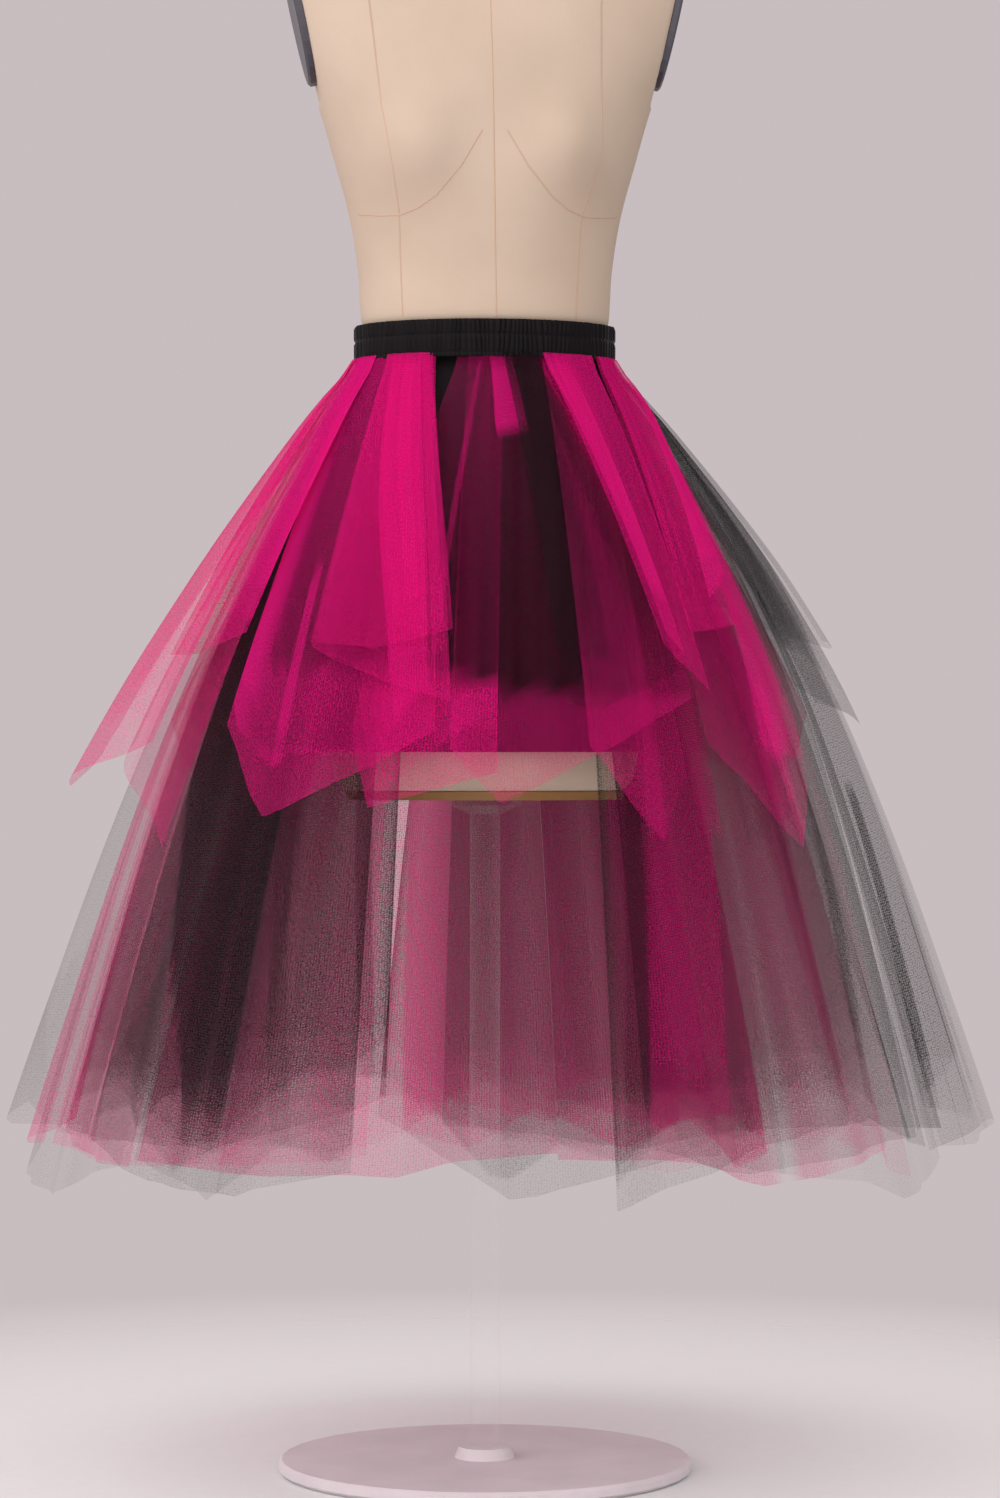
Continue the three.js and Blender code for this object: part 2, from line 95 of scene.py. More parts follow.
# The panels, as in the solids: name, net, layer, angles of both edges at the waist and at the hem,
# drops of the left edge, the lowest corner and the right edge, where the corner is, folds and their start.
# cloth: how many thicknesses of net lie on each other. pleats: how many more pleats narrow from the waist.
PANEL_KEYS = ("name", "net", "layer", "top", "hem", "drops", "corner", "folds", "turn", "cloth", "pleats")
PANELS = (
    ("pink_front_left_top", "pink", 7, (-58, -35), (-34.5, -10), (260, 266, 250), 0.45, 2, 40, 0.65, 0),
    ("pink_front_left_under", "pink", 6, (-58, -34), (-35, -10.5), (264, 292, 312), 0.5, 2, 200, 0.65, 0),
    ("pink_front_left_main", "pink", 5, (-80, -33), (-49, -12.5), (331, 410, 337), 0.32, 3, 90, 0.5, 0),
    ("pink_side_left", "pink", 7, (-126, -84), (-106, -60), (330, 386, 346), 0.32, 3, 10, 1.2, 0),
    ("pink_side_left_strip", "pink", 4, (-100, -86), (-88, -57), (345, 438, 262), 0.9, 1, 259, 0.7, 0),
    ("pink_side_left_top", "pink", 6, (-96, -66), (-74, -51), (268, 268, 250), 0.5, 2, 300, 2.0, 1),
    ("pink_front_middle", "pink", 4, (-20, 6), (-27, -3), (340, 402, 372), 0.2, 2, 120, 0.12, 1),
    ("pink_front_centre", "pink", 5, (-14, 27), (-10, 30), (352, 398, 308), 0.18, 3, 30, 0.08, 0),
    ("black_front_centre", "black", 6, (6, 24), (8, 28.3), (314, 319, 284), 0.25, 2, 200, 1.4, 0),
    ("pink_front_right_strip", "pink", 7, (28, 57), (25.5, 31), (262, 282, 304), 0.5, 1, 60, 0.9, 0),
    ("pink_front_right_under", "pink", 4, (29, 54), (12, 27), (349, 430, 376), 0.62, 2, 250, 0.3, 0),
    ("pink_side_right", "pink", 6, (61, 80), (29.3, 46.5), (346, 436, 324), 0.6, 2, 180, 0.5, 0),
    ("pink_side_right_top", "pink", 7, (62, 84), (32, 43), (252, 248, 240), 0.5, 2, 150, 1.0, 0),
    ("black_side_right_top", "black", 5, (75, 112), (54, 88), (246, 262, 252), 0.55, 3, 110, 0.85, 0),
    ("black_side_right", "black", 4, (80, 124), (56, 104), (290, 330, 308), 0.4, 3, 20, 1.4, 1),
    ("pink_back_right", "pink", 6, (112, 146), (116, 143), (318, 392, 344), 0.5, 3, 70, 1.8, 4),
    ("pink_back_centre", "pink", 7, (146, 188), (148, 190), (330, 404, 346), 0.45, 3, 160, 1.8, 4),
    ("pink_back_left", "pink", 6, (192, 232), (197, 238), (346, 398, 326), 0.55, 3, 260, 1.8, 4),
    ("black_back_right", "black", 4, (127, 170), (121, 166), (322, 372, 338), 0.5, 3, 210, 1.8, 4),
    ("black_back_left", "black", 4, (190, 234), (194, 242), (330, 366, 318), 0.6, 3, 330, 1.8, 4),
    ("black_outer_front_left", "black", 3, (-77, -46), (-58.5, -20), (692, 728, 700), 0.68, 4, 15, 3.4, 0),
    ("black_outer_left", "black", 3, (-113, -80), (-99, -60.5), (716, 676, 690), 0.24, 4, 95, 0.65, 0),
    ("black_outer_back_left", "black", 3, (-150, -115), (-134, -101), (760, 792, 724), 0.4, 4, 210, 0.7, 4),
    ("black_outer_back_edge", "black", 3, (-176, -152), (-168, -136), (742, 806, 766), 0.6, 3, 130, 0.8, 4),
    ("black_outer_back_centre", "black", 3, (145, 182), (146, 188.5), (772, 818, 738), 0.62, 4, 40, 5.0, 4),
    ("black_outer_back_right", "black", 3, (109, 143), (104, 144), (742, 800, 768), 0.4, 4, 280, 0.6, 4),
    ("black_outer_right", "black", 3, (77, 107), (60.5, 102), (704, 690, 736), 0.35, 4, 170, 0.65, 1),
    ("black_outer_front_right", "black", 3, (46, 75), (9.5, 58.5), (726, 664, 702), 0.66, 5, 320, 2.0, 2),
    ("pink_long_front_left", "pink", 2, (-84, -43), (-76, -19.5), (702, 714, 686), 0.5, 5, 75, 0.5, 0),
    ("pink_long_left", "pink", 2, (-140, -86), (-132, -78), (762, 700, 700), 0.6, 5, 190, 0.7, 0),
    ("pink_long_back", "pink", 2, (164, 218), (166, 226), (770, 796, 766), 0.35, 5, 290, 1.9, 4),
    ("pink_long_back_right", "pink", 2, (117, 163.95), (116, 165.97), (744, 790, 772), 0.4, 5, 55, 5.0, 4),
    ("pink_long_front_right", "pink", 2, (42, 84), (13, 61), (700, 686, 726), 0.5, 5, 140, 0.25, 2),
    ("black_inner_front_left", "black", 1, (-88, -40), (-80, -18.5), (690, 700, 640), 0.6, 5, 230, 5.0, 1),
    ("black_inner_left", "black", 1, (-168, -90), (-166, -82), (758, 736, 694), 0.5, 6, 100, 0.6, 0),
    ("black_inner_back", "black", 1, (90, 183), (90, 181), (716, 772, 744), 0.5, 6, 350, 1.5, 4),
    ("black_inner_front_right", "black", 1, (38, 88), (16, 88), (688, 672, 712), 0.5, 5, 10, 1.1, 3),
)

# Listed creases. Each adds cloth between two lines, given as shares across the panel.
# The numbers: its left line at the waist and at the hem, its right line at the waist and at the hem,
# from which drop to which drop, and how many thicknesses it adds, or takes away where it is below 0.
CREASES = {
    "pink_front_left_main": (
        (0.51, 0.89, 0.83, 1.02, 0, 352, 1.4),
        (0.25, 0.31, 0.31, 0.35, 190, 420, 1.2),
        (-0.1, -0.1, 1.1, 1.1, 275, 480, 0.7),
        (-0.1, -0.1, 1.1, 1.1, 345, 480, 0.9),
    ),
    "pink_side_right_top": ((0.82, 0.48, 1.0, 1.0, 0, 300, 3.5),),
    "pink_side_right": ((0.92, 0.4, 1.0, 0.9, 0, 360, 1.6), (0.6, 0.6, 0.75, 0.66, 290, 460, 1.2)),
    "pink_front_right_under": ((0, 0, 0.85, 0.66, 0, 440, 0.5),),
    "pink_front_right_strip": ((0.02, 0.3, 0.45, 0.62, 0, 320, 2.5),),
    "pink_front_centre": ((0.3, 0.1, 0.6, 0.3, 0, 70, 2), (-0.1, -0.1, 1.1, 1.1, 300, 410, 0.6)),
    "black_front_centre": ((0, 0, 0.7, 0.4, 0, 330, 1), (0.7, 0.8, 0.9, 1.0, 20, 330, 1.2)),
    "black_side_right": ((0.12, 0.05, 0.5, 0.22, 0, 350, 2.2),),
    "black_outer_front_left": (
        (-0.59, 0.54, 0.63, 0.59, 0, 700, 6),
        (1.2, -0.19, 0.6, 0.58, 0, 712, 1.2),
        (0.48, 0.54, 0.63, 0.585, 250, 700, 2.5),
        (0.34, 0.8, 0.5, 0.84, 0, 730, 1.5),
    ),
    "black_inner_front_left": ((0.8, 0.955, 0.85, 0.985, 0, 700, 4), (0.55, 0.66, 0.75, 0.8, 0, 700, 1)),
    "black_outer_front_right": (
        (0.18, 0.01, 0.26, 0.08, 0, 730, 2.5),
        (0.85, 0.52, 1.1, 0.64, 0, 700, 0.4),
        (1.04, 0.62, 1.11, 0.655, 350, 720, 2.5),
    ),
    "black_inner_front_right": (
        (0, 0, 0.7, 0.6, 0, 720, 1),
        (0, 0, 0.08, 0.06, 0, 720, 3),
        (0.1, 0.1, 0.13, 0.12, 0, 720, 2),
    ),
    "pink_side_left": ((0.5, 0.42, 1.0, 1.0, 0, 330, 0.4),),
    "pink_front_left_top": ((0.16, 0.6, 0.79, 0.83, 0, 270, 0.9), (0.4, 0.7, 0.6, 0.78, 0, 270, 0.7)),
    "pink_front_left_under": ((0.12, 0.65, 0.73, 0.88, 0, 320, 1.5), (0.8, 0.9, 0.9, 1.0, 0, 320, 0.8)),
    "pink_long_front_left": ((0.2, 0.45, 0.7, 0.62, 0, 640, 1.0),),
    "pink_long_front_right": ((0.18, 0.04, 0.5, 0.24, 0, 690, 1.1), (0.1, 0.0, 0.75, 0.6, 0, 650, 0.4)),
    "black_inner_back": ((0.3, 0.32, 1.0, 1.0, 0, 800, 1.4), (0.45, 0.5, 0.75, 0.72, 0, 800, 0.8)),
    "pink_long_back_right": ((-0.1, -0.1, 0.4, 0.38, 0, 900, -3.4),),
    "pink_long_back": ((-0.1, -0.1, 0.42, 0.33, 0, 800, 1.6),),
    "pink_front_middle": ((-0.1, -0.1, 1.1, 1.1, 290, 410, 1.8),),
    "black_outer_left": ((2.5, -0.09, 1.1, 1.1, 0, 690, 0.3),),
    "black_outer_right": (
        (0, 0.02, 0.3, 0.22, 0, 740, 2.0),
        (0.14, 0.03, 0.18, 0.07, 380, 700, 4),
        (0.6, 0.58, 0.65, 0.61, 480, 700, 3),
    ),
}

# Edges that roll over: the thicknesses added at the left and the right edge, and how wide the roll is
ROLLED = {
    "black_outer_left": (3, 0, 4),
    "pink_front_left_main": (3, 0, 26),
    "pink_side_left_top": (0, 1.5, 14),
    "pink_side_right_top": (0, 2, 16),
    "black_outer_front_left": (0, 3, 6),
    "black_inner_front_left": (0, 3, 5),
    "black_outer_front_right": (3, 0, 6),
    "black_inner_front_right": (4, 0, 7),
    "black_outer_back_centre": (0, 3, 6),
}

# A panel with more than SINGLE thicknesses has the others end higher, in zigzags. The rows: their share
# of the rest, the least height above the hem, how high the zigzags are and how wide half a zigzag is
SINGLE = 0.9
RAGGED_HEMS = ((0.4, 12, 36, 75), (0.35, 34, 32, 105), (0.25, 60, 28, 140))

LONG_LAYERS = 4  # the panels in the layers below this one are long
LONG_GRID = (210, 62)  # columns and rows of a long panel's mesh
SHORT_GRID = (130, 44)
SIDE_FOLDS = 0.25  # folds at the skirt's sides as a share of those at the front
HEM_TIPS = 14  # height of the points along a long panel's hem
TIPS_ACROSS = 2.5  # half points across a panel
WRINKLE_DEPTH = 0.03  # of one wave of wrinkles, as a share of the gap between layers
PLEAT_DEPTH = 0.18  # of one wave of the fine gathers at the waist
GATHERS_END = 60  # the drop at which they have faded
EVEN_DROP = {True: 420, False: 230}  # where a long or a short panel has just its own number of thicknesses
SOFT_START = 12  # how far a crease fades in at its upper end
SOFT_END = {True: 90, False: 6}  # how far a long or a short crease fades at its lower end
LONG_CREASE = 500  # a crease that ends at this drop or lower is a long one
SEEN_SHARE = 0.95  # a panel's mesh as a share of its flat area, since fine wrinkles take up the rest
LEAST_AREA = 0.31  # the least area of a pointed panel, as a share of its width by its length

# Camera, as measured in metres: the distance, the height and the turn round the object
CAMERA_DISTANCE = 3.864
CAMERA_HEIGHT = 0.663
CAMERA_TURN = math.radians(-5)
CAMERA_ASIDE = 0.0138
FOCAL_PIXELS = 4200
LONG_SIDE_PIXELS = 1498

# Where the studio is brighter, and how much more light comes from there
BRIGHT_SIDE = (-0.5, -0.72, 0.48)
BRIGHTER = 2.3
BACKGROUND = (0.575, 0.51, 0.525, 1)

# The net's mesh: holes in a metre, how dense its threads are at the middle of a hole and how much more so
# away from it, and the least slant that counts, as a cosine
NET_HOLES = 430
HOLE_DENSITY = 0.2
THREAD_DENSITY = 2.0
EDGE_ON = 0.7


def spline(table, key, column, at):
    """A column of a table along the same smooth curve as the solids use."""
    keys = np.array(table[key], float)
    values = np.array(table[column], float)
    at = np.asarray(at, float)
    i = np.clip(np.searchsorted(keys, at, side="left") - 1, 0, len(keys) - 2)
    span = keys[i + 1] - keys[i]
    t = np.minimum((at - keys[i]) / span, 1)

    def slope(k):
        low = np.maximum(k - 1, 0)
        high = np.minimum(k + 1, len(keys) - 1)
        return (values[high] - values[low]) / (keys[high] - keys[low]) * span

    rise = t * t * (3 - 2 * t)
    bend = t * (1 - t) * ((1 - t) * slope(i) - t * slope(i + 1))
    return values[i] * (1 - rise) + values[i + 1] * rise + bend


def oval(angle, left, right, front, back):
    """The radius at an angle in degrees of an oval whose four quarters may differ."""
    sine = np.sin(np.radians(angle))
    cosine = np.cos(np.radians(angle))
    return 1 / np.hypot(sine / np.where(sine > 0, right, left), cosine / np.where(cosine > 0, front, back))


def place(angle, radius, height):
    """Points in metres from angles in degrees and lengths in millimetres."""
    turn = np.radians(angle)
    return np.stack([radius * np.sin(turn), -radius * np.cos(turn), height + 0 * turn], -1) * MM


def layer_gap(drop):
    """How far apart two layers of tulle lie at a drop."""
    return LAYER_STEP + LAYER_SPREAD * drop


def skirt_radius(angle, drop, layer):
    """The radius of a layer of tulle at an angle and a drop, with the waves that all layers share."""
    left, right, front, back = (
        spline(SKIRT_SECTIONS, "drop", side, drop) for side in ("left", "right", "front", "back")
    )
    wave = sum(share * np.cos(np.radians(count * angle + start)) for count, share, start in SHARED_WAVES)
    depth = WAVE_DEPTH * np.maximum(drop / WAVE_DROP, 0) ** 1.3
    return oval(angle, left, right, front, back) + depth * wave + layer * layer_gap(drop)


def spread(drop):
    """How wide the skirt is at a drop, as the radius of a circle."""
    return (spline(SKIRT_SECTIONS, "drop", "right", drop) + spline(SKIRT_SECTIONS, "drop", "front", drop)) / 2


def swing(drop):
    """How far a panel's edges have swung from their angles at the waist towards those at the hem."""
    return 1 - spread(0) / spread(drop)


def smooth(x):
    """A soft step from 0 to 1."""
    x = np.clip(x, 0, 1)
    return x * x * (3 - 2 * x)


def grid_object(name, points, material, closed=False, **attributes):
    """A mesh of quads from a grid of points, with a UV map in metres. Keywords are float attributes."""
    if closed:
        points = np.concatenate([points, points[:1]])
        attributes = {key: np.concatenate([values, values[:1]]) for key, values in attributes.items()}
    columns, rows = points.shape[:2]
    numbers = np.arange(columns * rows).reshape(columns, rows)
    corners = [numbers[:-1, :-1], numbers[:-1, 1:], numbers[1:, 1:], numbers[1:, :-1]]
    faces = np.stack(corners, -1).reshape(-1, 4)
    mesh = bpy.data.meshes.new(name)
    mesh.from_pydata(points.reshape(-1, 3).tolist(), [], faces.tolist())
    across = np.linalg.norm(np.diff(points, axis=0), axis=2).mean(1)
    down = np.linalg.norm(np.diff(points, axis=1), axis=2).mean(0)
    u = np.concatenate([[0], np.cumsum(across)])[:, None] + np.zeros((columns, rows))
    v = np.concatenate([[0], np.cumsum(down)])[None, :] + np.zeros((columns, rows))
    uv = np.stack([u, v], -1).reshape(-1, 2)[faces.ravel()]
    mesh.uv_layers.new(name="cut").data.foreach_set("uv", uv.astype(np.float32).ravel())
    for key, values in attributes.items():
        stored = mesh.attributes.new(key, "FLOAT", "POINT")
        stored.data.foreach_set("value", (values + np.zeros((columns, rows))).astype(np.float32).ravel())
    mesh.polygons.foreach_set("use_smooth", np.ones(len(faces), bool))
    mesh.materials.append(material)
    piece = bpy.data.objects.new(name, mesh)
    bpy.context.scene.collection.objects.link(piece)
    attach(piece, "root")
    return piece


def grid_area(points):
    """The area in square metres of a grid of points."""
    a, b = points[:-1, :-1], points[1:, :-1]
    c, d = points[1:, 1:], points[:-1, 1:]
    halves = np.linalg.norm(np.cross(b - a, c - a), axis=2) + np.linalg.norm(np.cross(c - a, d - a), axis=2)
    return float(halves.sum() / 2)


class Shader:
    """A new material's node tree, with short ways to add nodes to it."""

    def __init__(self, name):
        self.material = bpy.data.materials.new(name)
        self.material.use_nodes = True
        self.nodes = self.material.node_tree.nodes
        self.links = self.material.node_tree.links
        self.nodes.clear()
        self.output = self.nodes.new("ShaderNodeOutputMaterial")

    def node(self, kind, **inputs):
        """Adds a node. A keyword sets the socket of that name, and an underscore in it stands for a space."""
        node = self.nodes.new("ShaderNode" + kind)
        for key, value in inputs.items():
            self.put(node.inputs[key.replace("_", " ")], value)
        return node

    def put(self, socket, value):
        if isinstance(value, bpy.types.NodeSocket):
            self.links.new(value, socket)
        else:
            socket.default_value = value

    def math(self, operation, *values, clamp=False):
        node = self.nodes.new("ShaderNodeMath")
        node.operation = operation
        node.use_clamp = clamp
        for socket, value in zip(node.inputs, values):
            self.put(socket, value)
        return node.outputs[0]

    def mapped(self, scale, space="Object"):
        """Object or UV coordinates, stretched by a scale for each axis."""
        if space == "UV":
            source = self.node("UVMap").outputs["UV"]
            source.node.uv_map = "cut"
        else:
            source = self.node("TexCoord").outputs["Object"]
        return self.node("Mapping", Vector=source, Scale=scale).outputs["Vector"]

    def noise(self, vector, scale=1.0, detail=2.0):
        return self.node("TexNoise", Vector=vector, Scale=scale, Detail=detail).outputs["Fac"]

    def between(self, value, low, high, from_low=0.0, from_high=1.0):
        inputs = {"Value": value, "From_Min": from_low, "From_Max": from_high, "To_Min": low, "To_Max": high}
        return self.node("MapRange", **inputs).outputs["Result"]

    def blend_colours(self, share, first, second):
        mix = self.nodes.new("ShaderNodeMix")
        mix.data_type = "RGBA"
        self.put(mix.inputs["Factor"], share)
        self.put(mix.inputs[6], first)
        self.put(mix.inputs[7], second)
        return mix.outputs[2]

    def bump(self, height, depth):
        return self.node("Bump", Height=height, Distance=depth, Strength=1.0).outputs["Normal"]

    def finish(self, surface):
        self.links.new(surface, self.output.inputs["Surface"])
        return self.material


def net_material(name, colour, cover):
    """Sheer net. Each thickness hides a share, cover, of what is behind it, and more where it is slanted.
    The mesh's attribute "cloth" gives the number of thicknesses."""
    s = Shader(name)
    cloth = s.node("Attribute").outputs["Fac"]
    cloth.node.attribute_name = "cloth"
    slant = s.node("LayerWeight", Blend=0.5).outputs["Facing"]
    straight = s.math("MAXIMUM", s.math("SUBTRACT", 1.0, slant), EDGE_ON)
    mesh_place = s.mapped((NET_HOLES, NET_HOLES, 1), "UV")
    holes = s.node("TexVoronoi", Vector=mesh_place, Scale=1.0, Randomness=0.45)
    holes.voronoi_dimensions = "2D"
    threads = s.math("MULTIPLY_ADD", holes.outputs["Distance"], THREAD_DENSITY, HOLE_DENSITY)
    amount = s.math("MULTIPLY", s.math("DIVIDE", cloth, straight), threads)
    hidden = s.math("SUBTRACT", 1.0, s.math("POWER", 1 - cover, amount))
    fibre = s.node("BsdfDiffuse", Color=(*colour, 1))
    through = s.node("BsdfTranslucent", Color=(*colour, 1))
    cloth_itself = s.node("MixShader", Fac=0.4)
    s.links.new(fibre.outputs[0], cloth_itself.inputs[1])
    s.links.new(through.outputs[0], cloth_itself.inputs[2])
    sheer = s.node("MixShader", Fac=hidden)
    s.links.new(s.node("BsdfTransparent").outputs[0], sheer.inputs[1])
    s.links.new(cloth_itself.outputs[0], sheer.inputs[2])
    return s.finish(sheer.outputs[0])


def satin_material():
    """Black satin with random lighter patches: a painted sheen standing for the gloss of wear."""
    s = Shader("black_satin")
    fine = s.noise(s.mapped((1200, 160, 1), "UV"), 1.0, 3.0)
    # painted sheen: a lighter base colour in random patches stands for the gloss of rubbed satin
    wear_and_painted_sheen = s.noise(s.mapped((18, 18, 18)), 1.0, 2.0)
    shade = s.blend_colours(wear_and_painted_sheen, (0.0025, 0.0022, 0.0025, 1), (0.0065, 0.0056, 0.0063, 1))
    satin = s.node(
        "BsdfPrincipled",
        Base_Color=shade,
        Roughness=s.between(fine, 0.28, 0.46),
        Specular_IOR_Level=0.08,
        Normal=s.bump(fine, 0.00008),
    )
    return s.finish(satin.outputs[0])


def lining_material():
    """Opaque black cloth with a fine weave."""
    s = Shader("black_lining")
    weave = s.noise(s.mapped((900, 900, 1), "UV"), 1.0, 2.0)
    shade = s.blend_colours(weave, (0.0025, 0.0018, 0.0024, 1), (0.0065, 0.005, 0.006, 1))
    cloth = s.node(
        "BsdfPrincipled",
        Base_Color=shade,
        Roughness=0.75,
        Specular_IOR_Level=0.12,
        Normal=s.bump(weave, 0.0001),
    )
    return s.finish(cloth.outputs[0])


def linen_material():
    """The form's cream cloth, with a weave in both directions and a slight mottle."""
    s = Shader("cream_cloth")
    crosswise = s.noise(s.mapped((700, 700, 90)), 1.0, 2.0)
    lengthwise = s.noise(s.mapped((90, 90, 900)), 1.0, 2.0)
    weave = s.math("MULTIPLY", crosswise, lengthwise)
    mottle = s.between(s.noise(s.mapped((1, 1, 1)), 9.0, 4.0), 0, 1, 0.3, 0.7)
    shade = s.blend_colours(mottle, (0.5, 0.42, 0.315, 1), (0.56, 0.475, 0.365, 1))
    cloth = s.node(
        "BsdfPrincipled",
        Base_Color=shade,
        Roughness=0.82,
        Specular_IOR_Level=0.2,
        Normal=s.bump(weave, 0.00025),
    )
    return s.finish(cloth.outputs[0])


def seam_material():
    """Brown thread, lighter and darker stitch by stitch."""
    s = Shader("seam_thread")
    stitches = s.node("TexWave", Vector=s.mapped((1, 1, 1), "UV"), Scale=160.0, Distortion=0.5).outputs["Fac"]
    shade = s.blend_colours(stitches, (0.42, 0.30, 0.205, 1), (0.60, 0.45, 0.32, 1))
    return s.finish(s.node("BsdfPrincipled", Base_Color=shade, Roughness=0.85).outputs[0])


def hard_material(name, colour, roughness, scale, metallic=0.0):
    """Paint, wood or plastic with a little unevenness in its colour and gloss."""
    s = Shader(name)
    uneven = s.noise(s.mapped(scale), 1.0, 4.0)
    shade = s.blend_colours(uneven, (*[c * 0.82 for c in colour], 1), (*[c * 1.1 for c in colour], 1))
    surface = s.node(
        "BsdfPrincipled",
        Base_Color=shade,
        Roughness=s.between(uneven, roughness - 0.06, roughness + 0.08),
        Metallic=metallic,
        Normal=s.bump(uneven, 0.0001),
    )
    return s.finish(surface.outputs[0])


def acrylic_material():
    """Clear acrylic, which shows a little more at its rims."""
    s = Shader("clear_acrylic")
    smears = s.noise(s.mapped((30, 30, 6)), 1.0, 3.0)
    rim = s.node("LayerWeight", Blend=0.25).outputs["Facing"]
    shown = s.between(rim, 0.01, 0.14)
    gloss = s.node(
        "BsdfPrincipled",
        Base_Color=(0.75, 0.73, 0.74, 1),
        Roughness=s.between(smears, 0.04, 0.12),
    )
    clear = s.node("MixShader", Fac=shown)
    s.links.new(s.node("BsdfTransparent").outputs[0], clear.inputs[1])
    s.links.new(gloss.outputs[0], clear.inputs[2])
    return s.finish(clear.outputs[0])


NETS = {
    "pink": net_material("pink_net", (0.82, 0.012, 0.235), 0.3),
    "black": net_material("black_net", (0.016, 0.014, 0.015), 0.16),
}
LINEN = linen_material()
FINISHES = {
    "rim": hard_material("golden_edge", (0.30, 0.16, 0.045), 0.5, (20, 20, 160)),
    "armhole": hard_material("dark_plate", (0.055, 0.055, 0.068), 0.35, (12, 12, 12)),
    "steel": hard_material("pale_paint", (0.70, 0.66, 0.68), 0.7, (14, 14, 14)),
    "linen": LINEN,
    "acrylic": acrylic_material(),
}


def hem_drop(panel, across):
    """The drop of a panel's hem, which runs straight from each edge to its lowest corner."""
    left, low, right = panel["drops"]
    corner = panel["corner"]
    to_corner = left + (low - left) * across / corner
    from_corner = low + (right - low) * (across - corner) / (1 - corner)
    return np.where(across < corner, to_corner, from_corner)


def sharp_wave(x):
    """A wave with nearly flat sides and quick turns, as stiff net folds."""
    return np.arcsin(0.94 * np.cos(x)) / math.asin(0.94)


def wedge(across, drop, hem, crease, step):
    """1 between a crease's two lines, 0 outside them, with edges as sharp as the mesh allows."""
    left_top, left_hem, right_top, right_hem, start, end, _ = crease
    share = drop / hem
    left = left_top + (left_hem - left_top) * share
    right = right_top + (right_hem - right_top) * share
    inside = np.clip((across - left) / step + 0.5, 0, 1) * np.clip((right - across) / step + 0.5, 0, 1)
    fade = SOFT_END[end >= LONG_CREASE]
    return inside * np.clip((drop - start) / SOFT_START, 0, 1) * np.clip((end - drop) / fade, 0, 1)


def random_crease(chance, panel):
    """A pleat from the waist that narrows to nothing."""
    deepest = max(panel["drops"])
    middle = chance.uniform(0.08, 0.92)
    half = chance.uniform(0.03, 0.10)
    drift = chance.uniform(-0.06, 0.06)
    end = middle + drift
    lowest = chance.uniform(0.5, 1.1) * deepest
    return (middle - half, end - 0.01, middle + half, end + 0.01, 0, lowest, chance.uniform(0.4, 1.3))


def cloth_amount(panel, chance, across, drop, width):
    """The number of thicknesses of net at each point of a panel."""
    deepest = max(panel["drops"])
    step = 1 / (across.shape[0] - 1)
    even_drop = EVEN_DROP[panel["layer"] < LONG_LAYERS]
    cloth = panel["cloth"] * spread(even_drop) / spread(drop) + 0 * across
    for _ in range(5):
        count = chance.uniform(1.0, 9.0)
        start = chance.uniform(0, 2 * math.pi)
        drift = chance.uniform(-1.5, 1.5)
        cloth = cloth * (1 + 0.06 * np.cos(2 * math.pi * count * across + start + drift * drop / deepest))
    creases = list(CREASES.get(panel["name"], ()))
    creases += [random_crease(chance, panel) for _ in range(panel["pleats"])]
    for crease in creases:
        cloth = cloth + crease[-1] * wedge(across, drop, deepest, crease, step)
    left, right, roll = ROLLED.get(panel["name"], (0, 0, 10))
    cloth = cloth + left * np.exp(-((across * width / roll) ** 2)) * smooth(drop / 60)
    cloth = cloth + right * np.exp(-(((1 - across) * width / roll) ** 2)) * smooth(drop / 60)
    rest = np.maximum(cloth - SINGLE, 0)
    cloth = np.minimum(cloth, SINGLE)
    for share, least, high, half_width in RAGGED_HEMS:
        along = np.abs((across * width / half_width + chance.uniform(0, 2)) % 2 - 1)
        cloth = cloth + rest * share * np.clip((drop[:, -1:] - drop - least - high * along) / 4 + 0.5, 0, 1)
    cut_edge = np.maximum(np.exp(-across * width / 0.8), np.exp(-(1 - across) * width / 0.8))
    return cloth + 0.4 * cut_edge


def rows_down(rows):
    """Shares of the drop for rows of points, close together near the hem, where the ragged hems end."""
    even = np.linspace(0, 1, rows)
    return np.where(even < 0.5, even * 1.74, 0.87 + (even - 0.5) * 0.26)


def panel_radius(panel, chance, angle, across, drop, down):
    """The radius of a panel's points: the skirt's, with the panel's folds, wrinkles and fine gathers."""
    fold = sharp_wave(np.radians(360 * panel["folds"] * across + panel["turn"]))
    fold = fold * (SIDE_FOLDS + (1 - SIDE_FOLDS) * np.cos(np.radians(angle)) ** 2)
    radius = skirt_radius(angle, drop, panel["layer"]) + FOLD_LIMIT * LAYER_SPREAD * drop * fold
    wrinkle = 0
    for _ in range(3):
        count = panel["folds"] * chance.uniform(0.5, 1.7)
        start = chance.uniform(0, 2 * math.pi)
        lean = chance.uniform(-2.0, 2.0)
        wave = np.cos(2 * math.pi * count * across + start + lean * down)
        wrinkle = wrinkle + chance.uniform(0.4, 1) * wave
    radius = radius + WRINKLE_DEPTH * layer_gap(drop) * wrinkle * smooth(drop / 200)
    for _ in range(3):
        count = panel["folds"] * chance.uniform(3.0, 8.0)
        gathers = np.cos(2 * math.pi * (count * across + chance.uniform(0, 1)))
        radius = radius + PLEAT_DEPTH * gathers * (1 - smooth(drop / GATHERS_END))
    return radius


def longest_line(points):
    """The length in metres of the longest line down a grid of points."""
    return float(np.linalg.norm(np.diff(points, axis=1), axis=2).sum(1).max())


